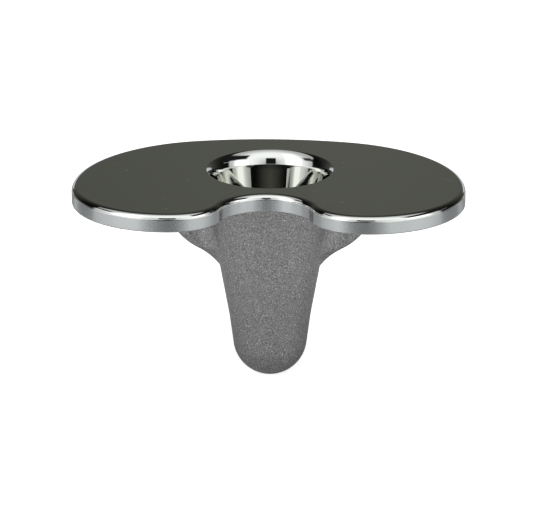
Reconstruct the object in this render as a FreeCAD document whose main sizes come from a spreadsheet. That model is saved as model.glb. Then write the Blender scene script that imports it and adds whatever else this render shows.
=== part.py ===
import FreeCAD, Part
import math
import os
import Sketcher

# Tibial baseplate of a knee prosthesis: a kidney-shaped plate on a conical stem with two wings,
# cast as one piece, with a tapered socket sunk into the stem from above.
# +Z is up, -Y is the notched back of the knee, +X is to the right seen from the back.
# The origin lies on the stem axis in the underside of the plate, the plane the bone is cut to.

V = FreeCAD.Vector
doc = FreeCAD.newDocument("TibialBaseplate")

# Driving dimensions, in millimetres and degrees
SIZES = {
    # Outline of the plate: reaches are from the stem axis, arcs are radii from front to notch
    "plate_width": 71.0,
    "front_reach": 19.2,
    "back_reach": 27.0,
    "notch_reach": 15.25,
    "front_arc": 65.0,
    "side_arc": 26.9,
    "lobe_arc": 17.9,
    "notch_corner_arc": 9.2,
    "notch_arc": 8.5,
    # Section of the plate
    "plate_thickness": 3.25,
    "edge_round": 1.0,
    "edge_break": 0.2,
    # Stem: depths are below the underside, tapers are half angles
    "stem_diameter": 24.1,
    "stem_taper_angle": 10.0,
    "knee_depth": 25.0,
    "lower_taper_angle": 7.4,
    "stem_length": 37.0,
    # Wings: an outer arc, then a hollow sweep that runs out on the stem
    "wing_span": 39.15,
    "wing_arc": 10.9,
    "wing_rise": 2.5,
    "wing_depth": 15.6,
    "sweep_arc": 12.3,
    "wing_edge_radius": 1.9,
    "wing_blend": 5.0,
    "root_round": 1.5,
    # Socket: depths are below the top face, lip_tilt is from that face and throat_tilt from the axis
    "mouth_diameter": 23.3,
    "lip_round": 2.8,
    "lip_tilt": 31.0,
    "throat_tilt": 20.0,
    "throat_depth": 2.4,
    "seat_chamfer": 0.2,
    "socket_taper_angle": 10.4,
    "socket_depth": 30.0,
    "socket_floor_round": 2.5,
    # How far cutting shapes stand clear of the metal
    "cut_over": 1.0,
}

sheet = doc.addObject("Spreadsheet::Sheet", "Dimensions")


def set_cells(first_row, values):
    """Write each value as a plain number, with its name beside it and as its alias."""
    for row, (name, value) in enumerate(values.items(), start=first_row):
        sheet.set(f"A{row}", name)
        sheet.set(f"B{row}", repr(value))
        sheet.setAlias(f"B{row}", name)


def sind(angle):
    return math.sin(math.radians(angle))


def cosd(angle):
    return math.cos(math.radians(angle))


def tand(angle):
    return math.tan(math.radians(angle))


def meet(centre_a, reach_a, centre_b, reach_b, side):
    """Point at two given distances from two centres, on one side of the line between them."""
    gap_x = centre_b[0] - centre_a[0]
    gap_y = centre_b[1] - centre_a[1]
    gap = math.hypot(gap_x, gap_y)
    along = (gap**2 + reach_a**2 - reach_b**2) / (2 * gap)
    across = side * math.sqrt(reach_a**2 - along**2)
    return (
        centre_a[0] + (along * gap_x - across * gap_y) / gap,
        centre_a[1] + (along * gap_y + across * gap_x) / gap,
    )


def toward(centre, point, distance):
    """Point at a distance from a centre, in the direction of another point."""
    span = math.hypot(point[0] - centre[0], point[1] - centre[1])
    return (
        centre[0] + (point[0] - centre[0]) * distance / span,
        centre[1] + (point[1] - centre[1]) * distance / span,
    )


def stem_radius_at(depth):
    """Outer radius of the upper cone at a depth below the underside."""
    return SIZES["stem_diameter"] / 2 - depth * tand(SIZES["stem_taper_angle"])


# Side view of a wing, as distance from the axis and height: both arc centres and where they touch
outer_centre = (
    SIZES["wing_span"] / 2 - SIZES["wing_arc"],
    SIZES["wing_rise"] + SIZES["wing_arc"] - SIZES["wing_depth"],
)
run_out = (stem_radius_at(SIZES["wing_depth"]), -SIZES["wing_depth"])
sweep_centre = meet(
    outer_centre, SIZES["wing_arc"] + SIZES["sweep_arc"], run_out, SIZES["sweep_arc"], 1
)
turn = toward(outer_centre, sweep_centre, SIZES["wing_arc"])


def wing_reach_at(depth):
    """Distance from the axis to the outer edge of a wing, at a depth below the underside."""
    if -depth > outer_centre[1]:
        return SIZES["wing_span"] / 2
    if -depth > turn[1]:
        return outer_centre[0] + math.sqrt(SIZES["wing_arc"] ** 2 - (depth + outer_centre[1]) ** 2)
    return sweep_centre[0] - math.sqrt(SIZES["sweep_arc"] ** 2 - (depth + sweep_centre[1]) ** 2)


# Sizes worked out from the driving ones
lip_centre_radius = SIZES["mouth_diameter"] / 2 + SIZES["lip_round"] * sind(SIZES["lip_tilt"])
lip_centre_depth = SIZES["lip_round"] * cosd(SIZES["lip_tilt"])
lip_end_radius = lip_centre_radius - SIZES["lip_round"] * cosd(SIZES["throat_tilt"])
lip_end_depth = lip_centre_depth - SIZES["lip_round"] * sind(SIZES["throat_tilt"])
throat_fall = SIZES["throat_depth"] - lip_end_depth
throat_radius = lip_end_radius - throat_fall * tand(SIZES["throat_tilt"])
seat_radius = throat_radius - SIZES["seat_chamfer"]
seat_depth = SIZES["throat_depth"] + SIZES["seat_chamfer"]
corner_radius = seat_radius - (SIZES["socket_depth"] - seat_depth) * tand(SIZES["socket_taper_angle"])
floor_radius = corner_radius - SIZES["socket_floor_round"] / tand(45 + SIZES["socket_taper_angle"] / 2)
knee_radius = stem_radius_at(SIZES["knee_depth"])
tip_centre_depth = (
    SIZES["stem_length"]
    - knee_radius * cosd(SIZES["lower_taper_angle"])
    - SIZES["knee_depth"] * sind(SIZES["lower_taper_angle"])
) / (1 - sind(SIZES["lower_taper_angle"]))
derived = {
    "lip_centre_radius": lip_centre_radius,
    "lip_centre_depth": lip_centre_depth,
    "throat_radius": throat_radius,
    "seat_radius": seat_radius,
    "seat_depth": seat_depth,
    "floor_radius": floor_radius,
    "knee_radius": knee_radius,
    "tip_radius": SIZES["stem_length"] - tip_centre_depth,
}

# Heights of the sections of the winged stem, as shares of the wing depth
STATION_SHARES = (0.0, 0.14, 0.32, 0.5, 0.64, 0.76, 0.86, 0.94, 0.995)
for number, share in enumerate(STATION_SHARES, start=1):
    station_depth = share * SIZES["wing_depth"]
    derived[f"station_depth_{number}"] = station_depth
    derived[f"station_reach_{number}"] = wing_reach_at(station_depth)
    derived[f"station_radius_{number}"] = stem_radius_at(station_depth)
last_station = len(STATION_SHARES)

set_cells(1, SIZES)
set_cells(len(SIZES) + 2, derived)
doc.recompute()

body = doc.addObject("PartDesign::Body", "TibialBaseplate")
body.Label = "tibial_baseplate"


def plane(role):
    """Find one of the body's own origin planes by its role."""
    for feature in body.Origin.OriginFeatures:
        if feature.Role == role:
            return feature
    raise ValueError(role)


def new_sketch(name, role):
    """Start a sketch on one of the body's origin planes."""
    sketch = body.newObject("Sketcher::SketchObject", name)
    sketch.AttachmentSupport = [(plane(role), "")]
    sketch.MapMode = "FlatFace"
    return sketch


def bind(sketch, kind, references, value, expression):
    """Add a measured constraint and tie it to the sheet."""
    index = sketch.addConstraint(Sketcher.Constraint(kind, *references, value))
    sketch.setExpression(f"Constraints[{index}]", expression)


def bind_place(sketch, geometry, point, place, expressions):
    """Tie a point's distances from the two axes to the sheet, leaving out what lies on an axis."""
    kinds = ("DistanceX", "DistanceY")
    axes = (-2, -1)
    for kind, axis, value, expression in zip(kinds, axes, place, expressions):
        if expression is None:
            sketch.addConstraint(Sketcher.Constraint("PointOnObject", geometry, point, axis))
        elif value < 0:
            bind(sketch, kind, (geometry, point, -1, 1), -value, expression)
        else:
            bind(sketch, kind, (-1, 1, geometry, point), value, expression)


def add_arc(sketch, centre, start, end):
    """Add an arc that runs anticlockwise about a centre from one point to another."""
    first = math.atan2(start[1] - centre[1], start[0] - centre[0])
    last = math.atan2(end[1] - centre[1], end[0] - centre[0])
    if last <= first:
        last += 2 * math.pi
    radius = math.hypot(start[0] - centre[0], start[1] - centre[1])
    circle = Part.Circle(V(centre[0], centre[1], 0), V(0, 0, 1), radius)
    return sketch.addGeometry(Part.ArcOfCircle(circle, first, last), False)


def add_line(sketch, start, end):
    """Add a straight line between two points."""
    return sketch.addGeometry(Part.LineSegment(V(start[0], start[1], 0), V(end[0], end[1], 0)), False)


def join(sketch, kind, pairs):
    """Join ends of neighbours, as Coincident or as Tangent."""
    for first, second in pairs:
        sketch.addConstraint(Sketcher.Constraint(kind, *first, *second))


def finish(feature):
    """Recompute, and stop if the feature has failed."""
    doc.recompute()
    if "Invalid" in feature.State or "Error" in feature.State:
        raise RuntimeError(f"{feature.Name} failed")
    if feature.Shape.isNull():
        raise RuntimeError(f"{feature.Name} is empty")
    return feature


START, END, CENTRE = 1, 2, 3


def mirrored(point):
    return (-point[0], point[1])


# Plate outline: eight tangent arcs, symmetric about the stem axis
def draw_outline():
    sketch = new_sketch("PlateOutline", "XY_Plane")
    half_width = SIZES["plate_width"] / 2
    side_x = half_width - SIZES["side_arc"]
    front = (0.0, SIZES["front_reach"] - SIZES["front_arc"])
    side_drop = math.sqrt((SIZES["front_arc"] - SIZES["side_arc"]) ** 2 - side_x**2)
    side = (side_x, front[1] + side_drop)
    lobe_y = SIZES["lobe_arc"] - SIZES["back_reach"]
    lobe_step = math.sqrt((SIZES["side_arc"] - SIZES["lobe_arc"]) ** 2 - (side[1] - lobe_y) ** 2)
    lobe = (side_x + lobe_step, lobe_y)
    notch = (0.0, -SIZES["notch_reach"] - SIZES["notch_arc"])
    corner = meet(
        notch,
        SIZES["notch_arc"] + SIZES["notch_corner_arc"],
        lobe,
        SIZES["lobe_arc"] - SIZES["notch_corner_arc"],
        -1,
    )
    front_end = toward(front, side, SIZES["front_arc"])
    side_end = toward(side, lobe, SIZES["side_arc"])
    lobe_end = toward(lobe, corner, SIZES["lobe_arc"])
    notch_end = toward(notch, corner, SIZES["notch_arc"])

    arcs = [
        add_arc(sketch, front, front_end, mirrored(front_end)),
        add_arc(sketch, mirrored(side), mirrored(front_end), mirrored(side_end)),
        add_arc(sketch, mirrored(lobe), mirrored(side_end), mirrored(lobe_end)),
        add_arc(sketch, mirrored(corner), mirrored(lobe_end), mirrored(notch_end)),
        add_arc(sketch, notch, notch_end, mirrored(notch_end)),
        add_arc(sketch, corner, notch_end, lobe_end),
        add_arc(sketch, lobe, lobe_end, side_end),
        add_arc(sketch, side, side_end, front_end),
    ]
    a_front, a_side_l, a_lobe_l, a_corner_l, a_notch, a_corner, a_lobe, a_side = arcs
    tangents = [
        ((a_front, END), (a_side_l, START)),
        ((a_side_l, END), (a_lobe_l, START)),
        ((a_lobe_l, END), (a_corner_l, START)),
        ((a_corner_l, END), (a_notch, END)),
        ((a_notch, START), (a_corner, START)),
        ((a_corner, END), (a_lobe, START)),
        ((a_lobe, END), (a_side, START)),
        ((a_side, END), (a_front, START)),
    ]
    join(sketch, "Tangent", tangents)
    radii = (
        (a_front, "front_arc"),
        (a_side_l, "side_arc"),
        (a_lobe_l, "lobe_arc"),
        (a_corner_l, "notch_corner_arc"),
        (a_notch, "notch_arc"),
        (a_corner, "notch_corner_arc"),
        (a_lobe, "lobe_arc"),
        (a_side, "side_arc"),
    )
    for geometry, name in radii:
        bind(sketch, "Radius", (geometry,), SIZES[name], f"Dimensions.{name}")
    bind_place(
        sketch, a_front, CENTRE, front, (None, "Dimensions.front_arc - Dimensions.front_reach")
    )
    bind_place(
        sketch, a_notch, CENTRE, notch, (None, "Dimensions.notch_reach + Dimensions.notch_arc")
    )
    side_place = "Dimensions.plate_width / 2 - Dimensions.side_arc"
    bind(sketch, "DistanceX", (-1, 1, a_side, CENTRE), side_x, side_place)
    bind(sketch, "DistanceX", (a_side_l, CENTRE, -1, 1), side_x, side_place)
    lobe_place = "Dimensions.back_reach - Dimensions.lobe_arc"
    bind(sketch, "DistanceY", (a_lobe, CENTRE, -1, 1), -lobe_y, lobe_place)
    bind(sketch, "DistanceY", (a_lobe_l, CENTRE, -1, 1), -lobe_y, lobe_place)
    return finish(sketch)


def pad_plate(outline):
    pad = body.newObject("PartDesign::Pad", "Plate")
    pad.Profile = outline
    pad.setExpression("Length", "Dimensions.plate_thickness")
    outline.Visibility = False
    return finish(pad)


def fillet_edges(base, name, chosen, radius_name):
    """Round the edges of the body's tip that a test picks out."""
    names = [f"Edge{i}" for i, edge in enumerate(base.Shape.Edges, start=1) if chosen(edge)]
    if not names:
        raise RuntimeError(f"{name} found no edges")
    fillet = body.newObject("PartDesign::Fillet", name)
    fillet.Base = (base, names)
    fillet.setExpression("Radius", f"Dimensions.{radius_name}")
    return finish(fillet)


def lies_at(edge, height):
    tolerance = 1e-4
    box = edge.BoundBox
    return abs(box.ZMin - height) < tolerance and abs(box.ZMax - height) < tolerance


# One section of the winged stem: the stem's circle, two wing edges and four hollow blends
def draw_section(number):
    sketch = new_sketch(f"StemSection{number}", "XY_Plane")
    depth = derived[f"station_depth_{number}"]
    sketch.AttachmentOffset = FreeCAD.Placement(V(0, 0, -depth), FreeCAD.Rotation())
    sketch.setExpression("AttachmentOffset.Base.z", f"-Dimensions.station_depth_{number}")
    stem_radius = derived[f"station_radius_{number}"]
    edge = SIZES["wing_edge_radius"]
    edge_x = derived[f"station_reach_{number}"] - edge
    blend = SIZES["wing_blend"]
    blend_centre = meet((0.0, 0.0), stem_radius + blend, (edge_x, 0.0), edge + blend, 1)
    on_stem = toward((0.0, 0.0), blend_centre, stem_radius)
    on_edge = toward((edge_x, 0.0), blend_centre, edge)

    def flip(point, sign_x, sign_y):
        return (point[0] * sign_x, point[1] * sign_y)

    right_edge = add_arc(sketch, (edge_x, 0.0), flip(on_edge, 1, -1), on_edge)
    left_edge = add_arc(sketch, (-edge_x, 0.0), flip(on_edge, -1, 1), flip(on_edge, -1, -1))
    front = add_arc(sketch, (0.0, 0.0), on_stem, flip(on_stem, -1, 1))
    back = add_arc(sketch, (0.0, 0.0), flip(on_stem, -1, -1), flip(on_stem, 1, -1))
    blends = []
    for sign_x, sign_y in ((1, 1), (-1, 1), (-1, -1), (1, -1)):
        ends = [flip(on_stem, sign_x, sign_y), flip(on_edge, sign_x, sign_y)]
        if sign_x != sign_y:
            ends.reverse()
        blends.append(add_arc(sketch, flip(blend_centre, sign_x, sign_y), *ends))
    joints = [
        ((right_edge, END), (blends[0], END)),
        ((blends[0], START), (front, START)),
        ((front, END), (blends[1], END)),
        ((blends[1], START), (left_edge, START)),
        ((left_edge, END), (blends[2], END)),
        ((blends[2], START), (back, START)),
        ((back, END), (blends[3], END)),
        ((blends[3], START), (right_edge, START)),
    ]
    join(sketch, "Tangent", joints)
    for geometry in (front, back):
        sketch.addConstraint(Sketcher.Constraint("Coincident", geometry, CENTRE, -1, 1))
        bind(sketch, "Radius", (geometry,), stem_radius, f"Dimensions.station_radius_{number}")
    for geometry in (right_edge, left_edge):
        bind(sketch, "Radius", (geometry,), edge, "Dimensions.wing_edge_radius")
        sketch.addConstraint(Sketcher.Constraint("PointOnObject", geometry, CENTRE, -1))
    edge_place = f"Dimensions.station_reach_{number} - Dimensions.wing_edge_radius"
    bind(sketch, "DistanceX", (-1, 1, right_edge, CENTRE), edge_x, edge_place)
    bind(sketch, "DistanceX", (left_edge, CENTRE, -1, 1), edge_x, edge_place)
    for geometry in blends:
        bind(sketch, "Radius", (geometry,), blend, "Dimensions.wing_blend")
    sketch.Visibility = False
    return finish(sketch)


def loft_winged_stem():
    sections = [draw_section(number) for number in range(1, last_station + 1)]
    loft = body.newObject("PartDesign::AdditiveLoft", "WingedStem")
    loft.Profile = sections[0]
    loft.Sections = sections[1:]
    loft.Ruled = False
    return finish(loft)


# Lower stem: turned from the run-out of the wings to the round tip
def turn_lower_stem():
    sketch = new_sketch("LowerStemProfile", "XZ_Plane")
    top_y = -derived[f"station_depth_{last_station}"]
    top_r = derived[f"station_radius_{last_station}"]
    knee = (derived["knee_radius"], -SIZES["knee_depth"])
    tip = (0.0, -SIZES["stem_length"])
    tip_centre = (0.0, tip[1] + derived["tip_radius"])
    shoulder = (
        derived["tip_radius"] * cosd(SIZES["lower_taper_angle"]),
        tip_centre[1] - derived["tip_radius"] * sind(SIZES["lower_taper_angle"]),
    )
    top = add_line(sketch, (0.0, top_y), (top_r, top_y))
    upper = add_line(sketch, (top_r, top_y), knee)
    lower = add_line(sketch, knee, shoulder)
    nose = add_arc(sketch, tip_centre, tip, shoulder)
    axis = add_line(sketch, tip, (0.0, top_y))
    corners = [
        ((top, END), (upper, START)),
        ((upper, END), (lower, START)),
        ((nose, START), (axis, START)),
        ((axis, END), (top, START)),
    ]
    join(sketch, "Coincident", corners)
    join(sketch, "Tangent", [((lower, END), (nose, END))])
    depth_name = f"Dimensions.station_depth_{last_station}"
    radius_name = f"Dimensions.station_radius_{last_station}"
    bind_place(sketch, top, START, (0.0, top_y), (None, depth_name))
    bind_place(sketch, upper, START, (top_r, top_y), (radius_name, depth_name))
    bind_place(sketch, upper, END, knee, ("Dimensions.knee_radius", "Dimensions.knee_depth"))
    bind_place(sketch, nose, START, tip, (None, "Dimensions.stem_length"))
    sketch.addConstraint(Sketcher.Constraint("PointOnObject", nose, CENTRE, -2))
    bind(sketch, "Radius", (nose,), derived["tip_radius"], "Dimensions.tip_radius")
    finish(sketch)
    revolution = body.newObject("PartDesign::Revolution", "LowerStem")
    revolution.Profile = sketch
    revolution.ReferenceAxis = (sketch, ["V_Axis"])
    revolution.Angle = 360.0
    sketch.Visibility = False
    return finish(revolution)


# Socket: round lip, coned throat, seat chamfer, tapered wall and a blind floor
def cut_socket():
    sketch = new_sketch("SocketProfile", "XZ_Plane")
    top = SIZES["plate_thickness"]
    mouth = SIZES["mouth_diameter"] / 2
    floor_y = top - SIZES["socket_depth"]
    over_y = top + SIZES["cut_over"]
    lip_centre = (derived["lip_centre_radius"], top - derived["lip_centre_depth"])
    lip_end = (lip_end_radius, top - lip_end_depth)
    throat = (derived["throat_radius"], top - SIZES["throat_depth"])
    seat = (derived["seat_radius"], top - derived["seat_depth"])
    bend = SIZES["socket_floor_round"]
    bend_centre = (derived["floor_radius"], floor_y + bend)
    bend_top = (
        bend_centre[0] + bend * cosd(SIZES["socket_taper_angle"]),
        bend_centre[1] - bend * sind(SIZES["socket_taper_angle"]),
    )
    over = add_line(sketch, (0.0, over_y), (mouth, over_y))
    drop = add_line(sketch, (mouth, over_y), (mouth, top))
    round_lip = add_arc(sketch, lip_centre, (mouth, top), lip_end)
    neck = add_line(sketch, lip_end, throat)
    chamfer = add_line(sketch, throat, seat)
    wall = add_line(sketch, seat, bend_top)
    floor_bend = add_arc(sketch, bend_centre, (bend_centre[0], floor_y), bend_top)
    floor = add_line(sketch, (bend_centre[0], floor_y), (0.0, floor_y))
    axis = add_line(sketch, (0.0, floor_y), (0.0, over_y))
    corners = [
        ((over, END), (drop, START)),
        ((drop, END), (round_lip, START)),
        ((neck, END), (chamfer, START)),
        ((chamfer, END), (wall, START)),
        ((floor, END), (axis, START)),
        ((axis, END), (over, START)),
    ]
    join(sketch, "Coincident", corners)
    smooth = [
        ((round_lip, END), (neck, START)),
        ((wall, END), (floor_bend, END)),
        ((floor_bend, START), (floor, START)),
    ]
    join(sketch, "Tangent", smooth)
    thickness = "Dimensions.plate_thickness"
    over_place = f"{thickness} + Dimensions.cut_over"
    floor_place = f"Dimensions.socket_depth - {thickness}"
    half_mouth = "Dimensions.mouth_diameter / 2"
    bind_place(sketch, over, START, (0.0, over_y), (None, over_place))
    bind_place(sketch, over, END, (mouth, over_y), (half_mouth, over_place))
    bind_place(sketch, drop, END, (mouth, top), (half_mouth, thickness))
    lip_place = f"{thickness} - Dimensions.lip_centre_depth"
    bind_place(sketch, round_lip, CENTRE, lip_centre, ("Dimensions.lip_centre_radius", lip_place))
    throat_place = f"{thickness} - Dimensions.throat_depth"
    bind_place(sketch, neck, END, throat, ("Dimensions.throat_radius", throat_place))
    seat_place = f"{thickness} - Dimensions.seat_depth"
    bind_place(sketch, wall, START, seat, ("Dimensions.seat_radius", seat_place))
    bind(sketch, "Radius", (floor_bend,), bend, "Dimensions.socket_floor_round")
    bind_place(sketch, floor, START, (bend_centre[0], floor_y), ("Dimensions.floor_radius", floor_place))
    bind_place(sketch, floor, END, (0.0, floor_y), (None, floor_place))
    finish(sketch)
    before = body.Tip.Shape.Volume
    groove = body.newObject("PartDesign::Groove", "Socket")
    groove.Profile = sketch
    groove.ReferenceAxis = (sketch, ["V_Axis"])
    groove.Angle = 360.0
    sketch.Visibility = False
    finish(groove)
    if groove.Shape.Volume >= before:
        raise RuntimeError("the socket removes no metal")
    return groove


outline = draw_outline()
plate = pad_plate(outline)
top_round = fillet_edges(
    plate, "TopRound", lambda edge: lies_at(edge, SIZES["plate_thickness"]), "edge_round"
)
underside_break = fillet_edges(
    top_round, "UndersideBreak", lambda edge: lies_at(edge, 0.0), "edge_break"
)
winged_stem = loft_winged_stem()
lower_stem = turn_lower_stem()


def is_root(edge):
    """True for the edges where the winged stem meets the underside."""
    reach = SIZES["wing_span"] / 2 + SIZES["cut_over"]
    box = edge.BoundBox
    inside = box.XMax < reach and box.XMin > -reach and box.YMin > -SIZES["notch_reach"]
    return lies_at(edge, 0.0) and inside and box.YMax < SIZES["stem_diameter"] / 2 + SIZES["cut_over"]


root = fillet_edges(lower_stem, "RootRound", is_root, "root_round")
socket = cut_socket()

for feature in doc.Objects:
    if "Invalid" in feature.State or "Error" in feature.State:
        raise RuntimeError(f"{feature.Name} failed")
shape = body.Shape
if shape.isNull() or not shape.isValid() or len(shape.Solids) != 1:
    raise RuntimeError("the baseplate is not one sound solid")

os.makedirs("parts", exist_ok=True)
shape.exportStep(f"parts/{body.Label}.step")
box = shape.BoundBox
print(f"volume {shape.Volume:.1f} mm3, area {shape.Area:.1f} mm2, faces {len(shape.Faces)}")
print(f"box {box.XMin:.2f} {box.XMax:.2f} {box.YMin:.2f} {box.YMax:.2f} {box.ZMin:.2f} {box.ZMax:.2f}")
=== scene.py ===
"""Looks of a tibial baseplate: polished, ground and grit-blasted cobalt-chrome in a small photo studio."""

import logging
import math
from collections.abc import Iterable, Sequence
from dataclasses import dataclass
from enum import Enum
from functools import partial

import bpy
import numpy as np
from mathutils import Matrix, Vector


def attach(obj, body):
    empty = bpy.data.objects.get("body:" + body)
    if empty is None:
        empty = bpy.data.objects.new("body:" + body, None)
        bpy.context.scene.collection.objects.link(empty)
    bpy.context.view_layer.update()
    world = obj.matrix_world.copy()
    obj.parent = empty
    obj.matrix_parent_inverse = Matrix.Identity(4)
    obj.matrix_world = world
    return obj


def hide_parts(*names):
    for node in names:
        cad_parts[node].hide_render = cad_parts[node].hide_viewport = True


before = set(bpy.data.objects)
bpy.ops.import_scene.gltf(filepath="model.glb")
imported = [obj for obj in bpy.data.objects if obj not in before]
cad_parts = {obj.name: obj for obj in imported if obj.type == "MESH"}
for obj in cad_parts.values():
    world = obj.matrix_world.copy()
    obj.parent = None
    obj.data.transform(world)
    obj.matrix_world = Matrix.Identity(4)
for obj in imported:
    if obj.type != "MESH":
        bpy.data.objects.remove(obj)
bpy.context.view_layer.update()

NODE = "tibial_baseplate"
GRIND_MAP = "along_and_across_in_mm"
MM = 0.001
QUARTER = math.pi / 2

NodeTree = bpy.types.NodeTree
# What a node's input can take, a node standing for its first output in use.
Source = bpy.types.Node | bpy.types.NodeSocket | float

log = logging.getLogger("tibial_baseplate")


class Zone(Enum):
    """Surface zones of the casting, numbered as the mesh's material slots."""

    POLISHED = 0
    GROUND = 1
    BLASTED = 2


def linear(colour: str) -> tuple[float, float, float, float]:
    """Turn an sRGB hex colour into linear light.

    Args:
        colour: Colour such as "#8A8C8B".

    Returns:
        Linear red, green, blue and an alpha of one.
    """
    channels = [int(colour[i : i + 2], 16) / 255 for i in (1, 3, 5)]
    light = [c / 12.92 if c <= 0.04045 else ((c + 0.055) / 1.055) ** 2.4 for c in channels]
    return (light[0], light[1], light[2], 1.0)


def add_node(tree: NodeTree, kind: str, inputs: dict | Sequence = (), **settings: str) -> bpy.types.Node:
    """Add a node, set its properties, and fill or link its inputs.

    Args:
        tree: Node tree that the node goes into.
        kind: Node type without its "ShaderNode" prefix.
        inputs: What the inputs get, in their order or by name or number. Each is a value, an output
            socket, or a node, which stands for its first output in use.
        **settings: Properties of the node.

    Returns:
        The new node.
    """
    node = tree.nodes.new("ShaderNode" + kind)
    for name, value in settings.items():
        setattr(node, name, value)
    for name, value in inputs.items() if isinstance(inputs, dict) else enumerate(inputs):
        if isinstance(value, bpy.types.Node):
            value = next(output for output in value.outputs if output.enabled)
        if isinstance(value, bpy.types.NodeSocket):
            tree.links.new(value, node.inputs[name])
        else:
            node.inputs[name].default_value = value
    return node


@dataclass(frozen=True)
class Ease:
    """Smooth change from one level to another.

    Attributes:
        start: Value where the change starts.
        stop: Value where it ends, above or below the start.
        low: Level at the start.
        high: Level at the end.
    """

    start: float
    stop: float
    low: float = 0.0
    high: float = 1.0


def eased(tree: NodeTree, limits: Iterable[tuple[Source, Ease]], unit: float = 1.0) -> bpy.types.Node:
    """Multiply the levels that several values reach.

    Args:
        tree: Node tree.
        limits: Values, each with the change that it is read on.
        unit: Size of the unit that the changes are written in.

    Returns:
        The product of the levels.
    """
    product = 1.0
    for value, ease in limits:
        ends = [value, ease.start * unit, ease.stop * unit, ease.low, ease.high]
        level = add_node(tree, "MapRange", ends, interpolation_type="SMOOTHSTEP")
        product = add_node(tree, "Math", [product, level], operation="MULTIPLY")
    return product


def meet(
    centre_a: tuple[float, float],
    reach_a: float,
    centre_b: tuple[float, float],
    reach_b: float,
    side: int,
) -> tuple[float, float]:
    """Find the point at two given distances from two centres.

    Args:
        centre_a: First centre.
        reach_a: Distance from the first centre.
        centre_b: Second centre.
        reach_b: Distance from the second centre.
        side: 1 for left of the line from first to second, -1 for right.

    Returns:
        The point.
    """
    gap = Vector(centre_b) - Vector(centre_a)
    along = (gap.length_squared + reach_a**2 - reach_b**2) / (2 * gap.length)
    across = side * math.sqrt(reach_a**2 - along**2)
    step = gap.normalized()
    return (
        centre_a[0] + along * step.x - across * step.y,
        centre_a[1] + along * step.y + across * step.x,
    )


def heading(centre: tuple[float, float], point: tuple[float, float]) -> float:
    """Angle of the direction from one point to another."""
    return math.atan2(point[1] - centre[1], point[0] - centre[0])


@dataclass(frozen=True)
class Arc:
    """Circular arc in a plane, with its outward side for the metal that it bounds.

    Attributes:
        centre: Centre in mm.
        radius: Radius in mm.
        start: Angle of its first point.
        stop: Angle of its last point.
        hollow: True where the metal lies outside the circle.
    """

    centre: tuple[float, float]
    radius: float
    start: float
    stop: float
    hollow: bool = False

    @property
    def length(self) -> float:
        """Length in mm."""
        return self.radius * abs(self.stop - self.start)

    def sample(self, distance: np.ndarray) -> tuple[np.ndarray, np.ndarray]:
        """Place points on the arc.

        Args:
            distance: Distances from the first point, in mm.

        Returns:
            Points and outward normals, each as rows of x and y.
        """
        angle = self.start + distance / self.length * (self.stop - self.start)
        ray = np.stack([np.cos(angle), np.sin(angle)], axis=-1)
        points = np.array(self.centre) + self.radius * ray
        return points, -ray if self.hollow else ray


@dataclass(frozen=True)
class Columns:
    """Columns of the mesh round the stem axis, quadrant by quadrant.

    Attributes:
        per_quadrant: Columns in a quadrant.
    """

    per_quadrant: int = 120

    @property
    def count(self) -> int:
        """Columns all the way round."""
        return 4 * self.per_quadrant

    @property
    def share(self) -> np.ndarray:
        """Place of each column in its quadrant, from 0 on the x axis to 1 on the y axis."""
        rise = np.arange(self.per_quadrant) / self.per_quadrant
        return np.concatenate([rise, 1 - rise, rise, 1 - rise])

    @property
    def signs(self) -> np.ndarray:
        """Signs of x and y in each column's quadrant."""
        quadrants = np.array([(1, 1), (-1, 1), (-1, -1), (1, -1)], dtype=float)
        return np.repeat(quadrants, self.per_quadrant, axis=0)


@dataclass(frozen=True)
class Course:
    """Rings of the mesh that share one smooth run of surface.

    Attributes:
        points: Ring points in mm, as rings by columns by x, y, z.
        normals: Surface normals at the points.
        zone: Finish of the run.
    """

    points: np.ndarray
    normals: np.ndarray
    zone: Zone


def stacked(
    flat: np.ndarray,
    heights: np.ndarray,
    facing: np.ndarray,
    slopes: np.ndarray,
    zone: Zone,
) -> Course:
    """Stack flat rings at their heights.

    Args:
        flat: Points of the rings in mm, as rings by columns by x, y.
        heights: Height of each ring, in mm.
        facing: Outward direction of each column, as x, y.
        slopes: Angle of each ring's normal above the outward horizontal.
        zone: Finish.

    Returns:
        The run of surface.
    """
    points = np.empty((*flat.shape[:2], 3))
    points[..., :2] = flat
    points[..., 2] = heights[:, None]
    normals = np.empty_like(points)
    normals[..., :2] = np.cos(slopes)[:, None, None] * facing
    normals[..., 2] = np.sin(slopes)[:, None]
    return Course(points, normals, zone)


def turned(
    rays: np.ndarray,
    radii: np.ndarray,
    heights: np.ndarray,
    slopes: np.ndarray,
    zone: Zone,
) -> Course:
    """Turn a profile about the stem axis, with a unit ray for each column."""
    return stacked(radii[:, None, None] * rays, heights, rays, slopes, zone)


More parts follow.
